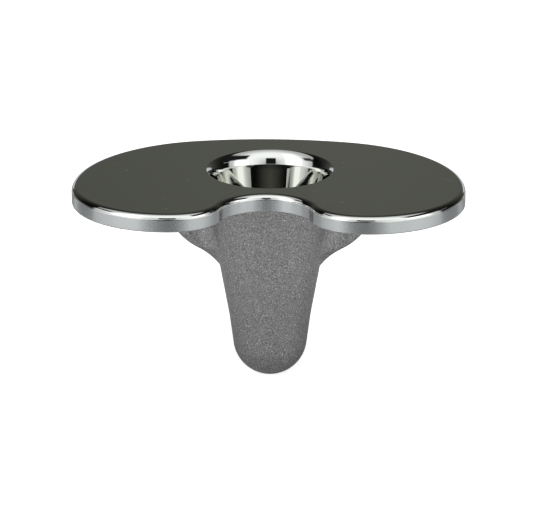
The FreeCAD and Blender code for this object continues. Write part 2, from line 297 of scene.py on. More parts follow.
@dataclass(frozen=True)
class Plate:
    """Kidney-shaped plate: a slab with a rounded top edge and a broken lower edge.

    Attributes:
        width: Size from side to side, in mm as all sizes here.
        front_reach: From the stem axis to the front.
        back_reach: From the stem axis to the back of the lobes.
        notch_reach: From the stem axis to the bottom of the notch.
        front_arc: Radius of the front.
        side_arc: Radius of the sides.
        lobe_arc: Radius of the lobes beside the notch.
        notch_corner_arc: Radius of the corners where the lobes turn into the notch.
        notch_arc: Radius of the notch.
        thickness: From the underside to the top face.
        edge_round: Radius of the top edge.
        edge_break: Radius of the lower edge.
        round_rings: Rings of the mesh over the top edge.
        wall_rings: Rings down the wall.
        break_rings: Rings round the lower edge.
    """

    width: float = 71.0
    front_reach: float = 19.2
    back_reach: float = 27.0
    notch_reach: float = 15.25
    front_arc: float = 65.0
    side_arc: float = 26.9
    lobe_arc: float = 17.9
    notch_corner_arc: float = 9.2
    notch_arc: float = 8.5
    thickness: float = 3.25
    edge_round: float = 1.0
    edge_break: float = 0.2
    round_rings: int = 15
    wall_rings: int = 5
    break_rings: int = 4

    def quadrants(self) -> tuple[list[Arc], list[Arc]]:
        """Lay the outline's right half as arcs that touch each other.

        Returns:
            Arcs from the widest point to the front, and arcs from there to the notch.
        """
        side_x = self.width / 2 - self.side_arc
        front = (0.0, self.front_reach - self.front_arc)
        side_rise = math.sqrt((self.front_arc - self.side_arc) ** 2 - side_x**2)
        side = (side_x, front[1] + side_rise)
        lobe_y = self.lobe_arc - self.back_reach
        lobe_step = math.sqrt((self.side_arc - self.lobe_arc) ** 2 - (side[1] - lobe_y) ** 2)
        lobe = (side_x + lobe_step, lobe_y)
        notch = (0.0, -self.notch_reach - self.notch_arc)
        to_notch_side = self.notch_arc + self.notch_corner_arc
        corner = meet(notch, to_notch_side, lobe, self.lobe_arc - self.notch_corner_arc, -1)
        to_front = heading(front, side)
        to_lobe = heading(side, lobe)
        to_corner = heading(lobe, corner)
        to_notch = heading(corner, notch)
        forward = [
            Arc(side, self.side_arc, 0.0, to_front),
            Arc(front, self.front_arc, to_front, QUARTER),
        ]
        backward = [
            Arc(side, self.side_arc, 0.0, to_lobe),
            Arc(lobe, self.lobe_arc, to_lobe, to_corner),
            Arc(corner, self.notch_corner_arc, to_corner, to_notch - math.tau * (to_notch > 0)),
            Arc(notch, self.notch_arc, heading(notch, corner), QUARTER, hollow=True),
        ]
        return forward, backward

    def outline(self, columns: Columns) -> tuple[np.ndarray, np.ndarray]:
        """Spread the columns evenly along the outline.

        Args:
            columns: Columns of the mesh.

        Returns:
            Points and outward normals of the outline, as rows of x and y.
        """
        points = np.empty((columns.count, 2))
        normals = np.empty((columns.count, 2))
        for sign, arcs in zip((1, -1), self.quadrants()):
            chosen = columns.signs[:, 1] == sign
            total = sum(arc.length for arc in arcs)
            distance = columns.share[chosen] * total
            reached = 0.0
            placed = np.empty((chosen.sum(), 2))
            facing = np.empty_like(placed)
            for arc in arcs:
                # A hair of slack keeps a column that stands exactly on a joint of two arcs.
                here = distance >= reached - 1e-9
                placed[here], facing[here] = arc.sample(distance[here] - reached)
                reached += arc.length
            mirror = np.stack([columns.signs[chosen, 0], np.ones(chosen.sum())], axis=1)
            points[chosen] = placed * mirror
            normals[chosen] = facing * mirror
        return points, normals

    def rim(self, columns: Columns) -> list[Course]:
        """Build the edge from the top face to the underside.

        Args:
            columns: Columns of the mesh.

        Returns:
            The polished round, the ground wall and the broken lower edge.
        """
        outline, facing = self.outline(columns)

        def swept(inset: np.ndarray, heights: np.ndarray, slopes: np.ndarray, zone: Zone) -> Course:
            """Sweep a stretch of the edge's profile round the outline."""
            return stacked(outline - inset[:, None, None] * facing, heights, facing, slopes, zone)

        turn = np.linspace(QUARTER, 0.0, self.round_rings)
        inset = self.edge_round * (1 - np.cos(turn))
        heights = self.thickness - self.edge_round * (1 - np.sin(turn))
        round_top = swept(inset, heights, turn, Zone.POLISHED)
        heights = np.linspace(self.thickness - self.edge_round, self.edge_break, self.wall_rings)
        wall = swept(0 * heights, heights, 0 * heights, Zone.GROUND)
        turn = np.linspace(0.0, -QUARTER, self.break_rings)
        inset = self.edge_break * (1 - np.cos(turn))
        lower = swept(inset, self.edge_break * (1 + np.sin(turn)), turn, Zone.BLASTED)
        return [round_top, wall, lower]


@dataclass(frozen=True)
class Socket:
    """Blind tapered socket under a rolled lip, with leans measured from the horizontal.

    Attributes:
        mouth_diameter: Diameter in the top face, in mm as all sizes here.
        lip_round: Radius of the lip.
        lip_start: Lean of the lip at the top face, in degrees, which leaves a crease there.
        lip_end: Lean where the lip passes into the throat.
        throat_end: Lean at the throat's lower end.
        throat_depth: Depth of the throat's lower end below the top face.
        seat_drop: Depth of the short run from the throat's lower end to the long wall.
        taper: Half angle of the wall, in degrees.
        depth: Depth of the floor below the top face.
        floor_round: Radius between wall and floor.
        floor_hole: Radius of the polygon in the middle of the floor, as a share of the floor's.
        lip_rings: Rings of the mesh over the lip.
        throat_rings: Rings down the throat.
        wall_rings: Rings down the wall.
        bend_rings: Rings round the bend at the floor.
        floor_rings: Rings over the floor.
    """

    mouth_diameter: float = 23.3
    lip_round: float = 2.8
    lip_start: float = 31.0
    lip_end: float = 64.0
    throat_end: float = 78.0
    throat_depth: float = 2.4
    seat_drop: float = 0.2
    taper: float = 10.4
    depth: float = 30.0
    floor_round: float = 2.5
    floor_hole: float = 0.02
    lip_rings: int = 18
    throat_rings: int = 8
    wall_rings: int = 9
    bend_rings: int = 8
    floor_rings: int = 4

    def courses(self, rays: np.ndarray, top: float) -> list[Course]:
        """Build the socket from the middle of its floor to its mouth.

        Args:
            rays: Unit x, y of each column.
            top: Height of the top face, in mm.

        Returns:
            Floor, bend, long wall, the short run above it, throat and lip.
        """
        taper = math.radians(self.taper)
        first, last = math.radians(self.lip_start), math.radians(self.lip_end)
        lean = np.linspace(last, first, self.lip_rings)
        lip_radii = self.mouth_diameter / 2 + self.lip_round * (math.sin(first) - np.sin(lean))
        lip_depths = self.lip_round * (math.cos(first) - np.cos(lean))
        steep = np.linspace(math.radians(self.throat_end), last, self.throat_rings)
        throat_round = (self.throat_depth - lip_depths[0]) / (math.cos(last) - math.cos(steep[0]))
        throat_radii = lip_radii[0] + throat_round * (math.sin(last) - np.sin(steep))
        throat_depths = lip_depths[0] + throat_round * (math.cos(last) - np.cos(steep))
        seat = throat_radii[0] - self.seat_drop * math.tan(taper)
        seat_depth = self.throat_depth + self.seat_drop
        corner = seat - (self.depth - seat_depth) * math.tan(taper)
        floor = corner - self.floor_round / math.tan(QUARTER / 2 + taper / 2)

        def run(radii: np.ndarray, depths: np.ndarray, slopes: float | np.ndarray) -> Course:
            """Turn a stretch of the profile, its depths measured from the top face."""
            slopes = np.broadcast_to(slopes, len(radii))
            return turned(rays, np.array(radii), top - np.array(depths), slopes, Zone.POLISHED)

        bend = np.linspace(-QUARTER, -taper, self.bend_rings)
        bend_radii = floor + self.floor_round * np.cos(bend)
        bend_depths = self.depth - self.floor_round * (1 + np.sin(bend))
        wall_radii = np.linspace(bend_radii[-1], seat, self.wall_rings)
        wall_depths = np.linspace(bend_depths[-1], seat_depth, self.wall_rings)
        floor_radii = np.linspace(self.floor_hole, 1.0, self.floor_rings) * floor
        return [
            run(floor_radii, [self.depth] * self.floor_rings, QUARTER),
            run(bend_radii, bend_depths, math.pi + bend),
            run(wall_radii, wall_depths, math.pi - taper),
            run([seat, throat_radii[0]], [seat_depth, self.throat_depth], math.pi - taper),
            run(throat_radii, throat_depths, QUARTER + steep),
            run(lip_radii, lip_depths, QUARTER + lean),
        ]


@dataclass(frozen=True)
class WingedStem:
    """Conical stem with two wings, with depths below the underside and tapers as half angles in degrees.

    Attributes:
        diameter: Diameter in the underside, in mm as all sizes here.
        taper: Taper of the upper cone.
        knee_depth: Depth where the lower cone starts.
        lower_taper: Taper of the lower cone.
        length: Depth of the round tip.
        wing_span: Size over the wings' outer edges.
        wing_arc: Radius of a wing's outer arc, seen from the back.
        wing_rise: Height of the outer arc's lowest point over the end of the wing.
        wing_depth: Depth where the wing runs out on the cone.
        sweep_arc: Radius of the hollow sweep below the outer arc.
        wing_edge_radius: Radius of the wing's rounded edge.
        wing_blend: Radius of the blend between wing and cone.
        root_round: Radius between stem and underside.
        root_passes: Passes that find the depth of the root's foot.
        tip_hole: Half angle that the polygon at the tip spans, in radians.
        root_rings: Rings of the mesh over the root.
        wing_rings: Rings over the depth of the wings.
        cone_rings: Rings from there to the lower cone.
        lower_rings: Rings over the lower cone.
        tip_rings: Rings over the tip.
    """

    diameter: float = 24.1
    taper: float = 10.0
    knee_depth: float = 25.0
    lower_taper: float = 7.4
    length: float = 37.0
    wing_span: float = 39.15
    wing_arc: float = 10.9
    wing_rise: float = 2.5
    wing_depth: float = 15.6
    sweep_arc: float = 12.3
    wing_edge_radius: float = 1.9
    wing_blend: float = 5.0
    root_round: float = 1.5
    root_passes: int = 4
    tip_hole: float = 0.01
    root_rings: int = 9
    wing_rings: int = 64
    cone_rings: int = 12
    lower_rings: int = 10
    tip_rings: int = 18

    def radius_at(self, depth: np.ndarray) -> np.ndarray:
        """Radius of the upper cone at a depth."""
        return self.diameter / 2 - depth * math.tan(math.radians(self.taper))

    def side_view(self) -> tuple[tuple[float, float], tuple[float, float], float]:
        """Find the arcs of a wing's outer edge, as distance from the axis and height.

        Returns:
            Centre of the outer arc, centre of the hollow sweep, and the height where they touch.
        """
        outer = (self.wing_span / 2 - self.wing_arc, self.wing_rise + self.wing_arc - self.wing_depth)
        run_out = (float(self.radius_at(self.wing_depth)), -self.wing_depth)
        sweep = meet(outer, self.wing_arc + self.sweep_arc, run_out, self.sweep_arc, 1)
        turn = outer[1] + (sweep[1] - outer[1]) * self.wing_arc / (self.wing_arc + self.sweep_arc)
        return outer, sweep, turn

    def reach_at(self, depth: np.ndarray) -> np.ndarray:
        """Find how far a wing's outer edge stands from the axis.

        Args:
            depth: Depths, in mm.

        Returns:
            Distance from the axis at each depth, in mm.
        """
        outer, sweep, turn = self.side_view()
        height = -depth
        on_outer = outer[0] + np.sqrt(np.maximum(self.wing_arc**2 - (height - outer[1]) ** 2, 0.0))
        on_sweep = sweep[0] - np.sqrt(np.maximum(self.sweep_arc**2 - (height - sweep[1]) ** 2, 0.0))
        reach = np.where(height > turn, on_outer, on_sweep)
        return np.where(height > outer[1], self.wing_span / 2, reach)

    def section(self, share: np.ndarray, depth: np.ndarray) -> tuple[np.ndarray, np.ndarray]:
        """Place points on a quadrant of a section: wing edge, hollow blend, then stem.

        Args:
            share: Places along the quadrant, from 0 at the wing's edge to 1 on the stem.
            depth: Depth of the section at each point.

        Returns:
            Points and the angles of their outward normals in the plane of the section.
        """
        stem = self.radius_at(depth)
        edge = self.wing_edge_radius
        blend = self.wing_blend
        edge_x = np.maximum(self.reach_at(depth), stem) - edge
        blend_x = ((stem + blend) ** 2 - (edge + blend) ** 2 + edge_x**2) / (2 * edge_x)
        blend_y = np.sqrt(np.maximum((stem + blend) ** 2 - blend_x**2, 0.0))
        on_stem = np.arctan2(blend_y, blend_x)
        on_edge = np.arctan2(blend_y, blend_x - edge_x)
        edge_run = edge * on_edge
        blend_run = blend * (on_edge - on_stem)
        total = edge_run + blend_run + stem * (QUARTER - on_stem)
        along = share * total
        first = along < edge_run
        last = along >= edge_run + blend_run
        angle = np.where(first, along / edge, on_edge - (along - edge_run) / blend)
        angle = np.where(last, on_stem + (along - edge_run - blend_run) / stem, angle)
        radius = np.where(first, edge, np.where(last, stem, -blend))
        centre_x = np.where(first, edge_x, np.where(last, 0.0, blend_x))
        centre_y = np.where(first | last, 0.0, blend_y)
        points = np.stack([centre_x + radius * np.cos(angle), centre_y + radius * np.sin(angle)], -1)
        return points, angle

    def wall(self, columns: Columns, depth: np.ndarray) -> tuple[np.ndarray, np.ndarray]:
        """Place a ring on the winged stem, with the surface's normals.

        Args:
            columns: Columns of the mesh.
            depth: Depth of each column's point.

        Returns:
            Points and normals, as rows of x, y and z.
        """
        # The wall's lean is measured over a short step of depth, in mm.
        step = 1e-4
        points, angle = self.section(columns.share, depth)
        lower, _ = self.section(columns.share, depth + step)
        upper, _ = self.section(columns.share, depth - step)
        flat = np.stack([np.cos(angle), np.sin(angle)], -1)
        lean = ((lower - upper) / (2 * step) * flat).sum(-1)
        normals = np.concatenate([flat * columns.signs, lean[:, None]], axis=1)
        normals /= np.linalg.norm(normals, axis=1, keepdims=True)
        return np.concatenate([points * columns.signs, -depth[:, None]], axis=1), normals

    def root(self, columns: Columns) -> Course:
        """Round the stem into the underside.

        Args:
            columns: Columns of the mesh.

        Returns:
            The hollow round, from the underside to the stem.
        """
        # The round's foot is deeper where the wall leans in more, and the lean depends on the depth.
        depth = np.full(columns.count, self.root_round)
        for _ in range(self.root_passes):
            foot, facing = self.wall(columns, depth)
            depth = self.root_round * (1 + facing[:, 2])
        tilt = -np.arcsin(facing[:, 2])
        flat = facing[:, :2] / np.linalg.norm(facing[:, :2], axis=1, keepdims=True)
        centre = foot + self.root_round * facing
        points, normals = [], []
        for share in np.linspace(1.0, 0.0, self.root_rings):
            angle = tilt + share * (QUARTER - tilt)
            normal = np.concatenate([flat * np.cos(angle)[:, None], -np.sin(angle)[:, None]], axis=1)
            points.append(centre - self.root_round * normal)
            normals.append(normal)
        return Course(np.array(points), np.array(normals), Zone.BLASTED)

    def wing_depths(self) -> np.ndarray:
        """Space the rings over the wings, closer together where the edge sweeps in.

        Returns:
            Depths of the rings, in mm.
        """
        samples = 400
        fine = np.linspace(0.0, self.wing_depth, samples)
        reach = self.reach_at(fine)
        path = np.concatenate([[0.0], np.cumsum(np.hypot(np.diff(fine), np.diff(reach)))])
        return np.interp(np.linspace(0.0, path[-1], self.wing_rings), path, fine)

    def courses(self, columns: Columns) -> list[Course]:
        """Build the stem from its root to its round tip.

        Args:
            columns: Columns of the mesh.

        Returns:
            Root round, winged length, plain cone, lower cone and tip.
        """
        root = self.root(columns)
        points, normals = [root.points[-1]], [root.normals[-1]]
        for depth in self.wing_depths():
            if depth > self.root_round:
                ring, facing = self.wall(columns, np.full(columns.count, depth))
                points.append(ring)
                normals.append(facing)
        winged = Course(np.array(points), np.array(normals), Zone.BLASTED)

        angle = columns.share * QUARTER
        rays = np.stack([np.cos(angle), np.sin(angle)], -1) * columns.signs
        upper, lower = math.radians(self.taper), math.radians(self.lower_taper)
        depths = np.linspace(self.wing_depth, self.knee_depth, self.cone_rings)
        slopes = np.full(self.cone_rings, -upper)
        cone = turned(rays, self.radius_at(depths), -depths, slopes, Zone.BLASTED)

        # The ball at the tip touches the lower cone and reaches down to the stem's full length.
        knee = float(self.radius_at(self.knee_depth))
        drop = self.length - self.knee_depth
        ball = (knee * math.cos(lower) - drop * math.sin(lower)) / (1 - math.sin(lower))
        ball_depth = self.length - ball
        depths = np.linspace(self.knee_depth, ball_depth + ball * math.sin(lower), self.lower_rings)
        radii = knee - (depths - self.knee_depth) * math.tan(lower)
        lower_cone = turned(rays, radii, -depths, np.full(self.lower_rings, -lower), Zone.BLASTED)
        turn = np.linspace(-lower, self.tip_hole - QUARTER, self.tip_rings)
        tip = turned(rays, ball * np.cos(turn), ball * np.sin(turn) - ball_depth, turn, Zone.BLASTED)
        return [root, winged, cone, lower_cone, tip]


@dataclass(frozen=True)
class Finish:
    """Metal with one finish.

    Attributes:
        name: Material's name.
        colour: Tint of the metal's reflections.
        roughness: Spread of the reflections.
    """

    name: str
    colour: str
    roughness: float

    def surface(self, tree: NodeTree) -> dict:
        """Describe what differs from smooth metal, as inputs of the metal's shader."""
        return {}

    def build(self) -> bpy.types.Material:
        """Make the material.

        Returns:
            The material, with its surface linked.
        """
        material = bpy.data.materials.new(self.name)
        material.use_nodes = True
        tree = material.node_tree
        tree.nodes.clear()
        inputs = {"Base Color": linear(self.colour), "Metallic": 1.0, "Roughness": self.roughness}
        inputs.update(self.surface(tree))
        metal = add_node(tree, "BsdfPrincipled", inputs)
        add_node(tree, "OutputMaterial", {"Surface": metal})
        return material


@dataclass(frozen=True)
class Mark:
    """Speck of dust or hairline scratch on the top face, as a short stroke.

    Attributes:
        start: One end, x and y in mm.
        stop: Other end, x and y in mm.
        width: Width of the stroke, in mm.
    """

    start: tuple[float, float]
    stop: tuple[float, float]
    width: float

    def cover(self, tree: NodeTree, place: Source) -> bpy.types.Node:
        """Find where the mark lies.

        Args:
            tree: Node tree of the metal.
            place: Place on the object, in metres.

        Returns:
            One on the mark and zero beside it.
        """
        add = partial(add_node, tree)
        start = Vector((*self.start, Plate.thickness)) * MM
        stroke = Vector((*self.stop, Plate.thickness)) * MM - start
        off = add("VectorMath", [place, start], operation="SUBTRACT")
        along = add("VectorMath", [off, stroke / stroke.length_squared], operation="DOT_PRODUCT")
        foot = add("VectorMath", {0: stroke, "Scale": add("Clamp", [along])}, operation="SCALE")
        away = add("VectorMath", [off, foot], operation="DISTANCE")
        return add("Math", [away, self.width / 2 * MM], operation="LESS_THAN")


# Dust is drawn about a pixel of the photograph wide, where real specks are finer, so that it shows.
MARKS = (
    Mark((-18.1, -17.3), (-18.0, -17.2), 0.2),
    Mark((-14.7, -7.5), (-14.6, -7.5), 0.17),
    Mark((8.7, -13.1), (8.8, -13.1), 0.17),
    Mark((8.2, -12.5), (8.3, -12.4), 0.15),
    Mark((13.2, -19.2), (13.5, -18.9), 0.16),
    Mark((13.3, 4.1), (13.4, 4.1), 0.15),
    Mark((-26.2, -2.0), (-26.1, -2.0), 0.16),
    Mark((-28.4, 1.5), (-28.3, 1.5), 0.14),
    Mark((-17.5, -23.4), (-17.4, -23.3), 0.14),
    Mark((20.9, -20.5), (21.0, -20.5), 0.13),
    Mark((9.4, -18.4), (13.2, -18.9), 0.03),
    Mark((31.3, -4.9), (33.4, -6.6), 0.05),
)


@dataclass(frozen=True)
class Polished(Finish):
    """Cast cobalt-chrome buffed to a mirror.

    Attributes:
        haze: Roughness that a mark adds.
        mark_colour: Tint of a mark.
    """

    haze: float = 0.5
    mark_colour: str = "#E6E6E4"

    def surface(self, tree: NodeTree) -> dict:
        """Dull and lighten the metal under the dust and scratches.

        Args:
            tree: Node tree of the metal.

        Returns:
            Tint and roughness.
        """
        add = partial(add_node, tree)
        place = add("TexCoord").outputs["Object"]
        cover = 0.0
        for mark in MARKS:
            cover = add("Math", [cover, mark.cover(tree, place)], operation="MAXIMUM")
        ends = {0: cover, 6: linear(self.colour), 7: linear(self.mark_colour)}
        tint = add("Mix", ends, data_type="RGBA")
        rough = add("Math", [cover, self.haze, self.roughness], operation="MULTIPLY_ADD")
        return {"Base Color": tint, "Roughness": rough}


@dataclass(frozen=True)
class Ground(Finish):
    """Cast cobalt-chrome ground along its edge, in lines that blur reflections up and down.

    Attributes:
        line_length: Typical length of a line, in mm.
        line_width: Typical width of a line, in mm. Real ones are nearer 0.05 mm, too fine to show.
        relief: Height of the lines, in mm.
        stretch: How much wider the blur is across the lines than along them, from 0 to 1.
        across: Turn from the lines to the direction of the blur, as a share of a full turn.
    """

    line_length: float = 9.0
    line_width: float = 0.16
    relief: float = 0.002
    stretch: float = 1.0
    across: float = 0.25

    def surface(self, tree: NodeTree) -> dict:
        """Stretch the reflections up and down and draw the lines.

        Args:
            tree: Node tree of the metal.

        Returns:
            Normal and the direction and amount of the stretch.
        """
        add = partial(add_node, tree)
        scale = (1 / self.line_length, 1 / self.line_width, 1.0)
        lined = add("VectorMath", [add("UVMap", uv_map=GRIND_MAP), scale], operation="MULTIPLY")
        lines = add("TexNoise", {"Vector": lined, "Scale": 1.0, "Detail": 2.0})
        bump = add("Bump", {"Height": lines, "Distance": self.relief * MM, "Strength": 1.0})
        along = add("Tangent", direction_type="UV_MAP", uv_map=GRIND_MAP)
        stretch = {"Anisotropic": self.stretch, "Anisotropic Rotation": self.across}
        return {"Normal": bump, "Tangent": along, **stretch}


@dataclass(frozen=True)
class Blasted(Finish):
    """Cast cobalt-chrome roughened with a blast of grit.

    Attributes:
        grain: Size of a dent, in mm. Real ones are nearer 0.1 mm, too fine to show.
        relief: Depth of a dent, in mm.
        dark: Tint at the bottom of the dents, painted shade that darkens them.
        dents: Noise levels between which the painted shade passes into the plain tint.
        glint: Size of the painted glints, lighter specks that stand for light caught by the burrs, in mm,
            drawn coarse as the dents are.
        bright: Tint of the painted glints.
        glint_levels: Noise levels between which the tint passes from plain to the painted glints' tint.
    """

    grain: float = 0.28
    relief: float = 0.06
    dark: str = "#6A6A68"
    dents: tuple[float, float] = (0.3, 0.7)
    glint: float = 0.24
    bright: str = "#DCDCDA"
    glint_levels: tuple[float, float] = (0.66, 0.86)

    def surface(self, tree: NodeTree) -> dict:
        """Dent the surface, paint shade into the dents and paint glints on as lighter specks.

        Args:
            tree: Node tree of the metal.

        Returns:
            Tint, with its painted shade and painted glints, and normal.
        """
        add = partial(add_node, tree)
        place = add("TexCoord").outputs["Object"]
        noise = {"Vector": place, "Scale": 1 / (self.grain * MM), "Detail": 2.0, "Roughness": 0.7}
        grit = add("TexNoise", noise)
        bump = add("Bump", {"Height": grit, "Distance": self.relief * MM, "Strength": 1.0})
        # Painted shade: the tint darkens towards the bottom of the dents, where the bump is lowest.
        share = add("MapRange", [grit, *self.dents])
        tint = add("Mix", {0: share, 6: linear(self.dark), 7: linear(self.colour)}, data_type="RGBA")
        # Painted glints: lighter specks of tint where a finer noise peaks.
        noise = {"Vector": place, "Scale": 1 / (self.glint * MM), "Detail": 0.0}
        share = add("MapRange", [add("TexNoise", noise), *self.glint_levels])
        tint = add("Mix", {0: share, 6: tint, 7: linear(self.bright)}, data_type="RGBA")
        return {"Base Color": tint, "Normal": bump}


@dataclass(frozen=True)
class Baseplate:
    """The whole casting: plate, socket and winged stem in one closed mesh.

    Attributes:
        columns: Columns of the mesh.
        plate: Kidney-shaped plate.
        socket: Tapered socket.
        stem: Stem with its wings.
        face_rings: Rings over the top face, and over the underside.
        finishes: Finish of each zone, in the order of the zones.
    """

    columns: Columns = Columns()
    plate: Plate = Plate()
    socket: Socket = Socket()
    stem: WingedStem = WingedStem()
    face_rings: int = 5
    finishes: tuple[Finish, ...] = (
        # The mirror gives the eye the room itself, faintly warm, and only dust and hairlines show the metal.
        Polished("cobalt_chrome_mirror_polished", "#D2D3CE", 0.03),
        # The lines give the eye a soft grey band whose light runs up and down, streaked along the edge.
        Ground("cobalt_chrome_ground", "#B0B3B3", 0.22),
        # The dents give the eye an even matt grey with painted shade in them and painted glints that sparkle
        # finely, and it darkens slowly round the stem.
        Blasted("cobalt_chrome_grit_blasted", "#B0B0AF", 0.55),
    )

    def courses(self) -> list[Course]:
        """Put the runs of surface in order, from the socket's floor to the stem's tip.

        Returns:
            The runs, each starting on the last ring of the one before.
        """
        rim = self.plate.rim(self.columns)
        inner = rim[0].points[0]
        rays = inner[:, :2] / np.linalg.norm(inner[:, :2], axis=1, keepdims=True)
        socket = self.socket.courses(rays, self.plate.thickness)
        stem = self.stem.courses(self.columns)
        top = self.face(socket[-1].points[-1], inner, 1.0, Zone.POLISHED)
        underside = self.face(rim[-1].points[-1], stem[0].points[0], -1.0, Zone.BLASTED)
        return [*socket, top, *rim, underside, *stem]

    def face(self, first: np.ndarray, last: np.ndarray, up: float, zone: Zone) -> Course:
        """Span a level face between two rings.

        Args:
            first: Points of the first ring.
            last: Points of the last ring.
            up: 1 for a face that looks up, -1 for one that looks down.
            zone: Finish.

        Returns:
            The level run of surface.
        """
        share = np.linspace(0.0, 1.0, self.face_rings)[:, None, None]
        points = first + share * (last - first)
        return Course(points, np.broadcast_to(np.array((0.0, 0.0, up)), points.shape), zone)

    def skin(self) -> tuple[np.ndarray, ...]:
        """Join the runs of surface, ring by ring.

        Returns:
            Points in mm, quads between them, the quads' zones, and for each quad's corners the normals
            and the places along and across the rim, in mm.
        """
        courses = self.courses()
        count = self.columns.count
        outline, _ = self.plate.outline(self.columns)
        steps = np.linalg.norm(np.roll(outline, -1, axis=0) - outline, axis=1)
        run = np.concatenate([[0.0], np.cumsum(steps)])
        columns = np.arange(count)
        following = (columns + 1) % count
        vertices = [courses[0].points[0]]
        quads, zones, normals, places = [], [], [], []
        ring, fall = 0, 0.0
        for course in courses:
            vertices.extend(course.points[1:])
            for step in range(len(course.points) - 1):
                near, far = ring * count, (ring + 1) * count
                quads.append(np.stack([near + columns, far + columns, far + following, near + following], -1))
                zones.append(np.full(count, course.zone.value))
                a, b = course.normals[step], course.normals[step + 1]
                normals.append(np.stack([a[columns], b[columns], b[following], a[following]], 1))
                drop = float(np.linalg.norm(course.points[step + 1] - course.points[step], axis=1).mean())
                left, right = run[:-1], run[1:]
                upper, lower = np.full(count, fall), np.full(count, fall + drop)
                corners = [(left, upper), (left, lower), (right, lower), (right, upper)]
                places.append(np.stack([np.stack(corner, -1) for corner in corners], 1))
                ring += 1
                fall += drop
        return tuple(np.concatenate(parts) for parts in (vertices, quads, zones, normals, places))

    def build(self) -> bpy.types.Object:
        """Make the mesh object, closed at the socket's floor and at the stem's tip.

        Returns:
            The object, with its finishes in its material slots.
        """
        points, quads, zones, normals, places = self.skin()
        count = self.columns.count
        # The first ring closes the socket's floor, and the last one, run backwards, the stem's tip.
        every = list(range(len(points)))
        polygons = [*quads.tolist(), every[:count], every[: -count - 1 : -1]]
        mesh = bpy.data.meshes.new(NODE + "_body")
        mesh.from_pydata((points * MM).tolist(), [], polygons)
        slots = [*zones.tolist(), Zone.POLISHED.value, Zone.BLASTED.value]
        mesh.polygons.foreach_set("material_index", slots)
        mesh.polygons.foreach_set("use_smooth", [True] * len(polygons))
        ends = np.repeat([(0.0, 0.0, 1.0), (0.0, 0.0, -1.0)], count, axis=0)
        mesh.normals_split_custom_set(np.concatenate([normals.reshape(-1, 3), ends]).tolist())
        layer = mesh.uv_layers.new(name=GRIND_MAP)
        ends = np.zeros((2 * count, 2))
        layer.data.foreach_set("uv", np.concatenate([places.reshape(-1, 2), ends]).ravel())
        mesh.validate()
        for finish in self.finishes:
            mesh.materials.append(finish.build())
        body = bpy.data.objects.new(NODE + "_body", mesh)
        bpy.context.scene.collection.objects.link(body)
        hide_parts(NODE)
        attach(body, "root")
        return body


@dataclass(frozen=True)
class Patch:
    """Grey part of the sky with soft ends.

    Attributes:
        azimuth: Its left and right ends, in degrees from the camera's side.
        elevation: Its lower and upper ends, in degrees above the horizon.
        blur: Width of its soft ends, in degrees.
        level: Brightness.
    """

    azimuth: tuple[float, float]
    elevation: tuple[float, float]
    blur: float
    level: float

    def limits(self, azimuth: Source, elevation: Source) -> list[tuple[Source, Ease]]:
        """Pair each angle with the patch's two ends along it.

        Args:
            azimuth: Azimuth of the sky's ray, in degrees.
            elevation: Elevation of the sky's ray, in degrees.

        Returns:
            The four soft ends.
        """
        half = self.blur / 2
        ends = []
        for angle, (low, high) in ((azimuth, self.azimuth), (elevation, self.elevation)):
            ends.append((angle, Ease(low - half, low + half)))
            ends.append((angle, Ease(high + half, high - half)))
        return ends


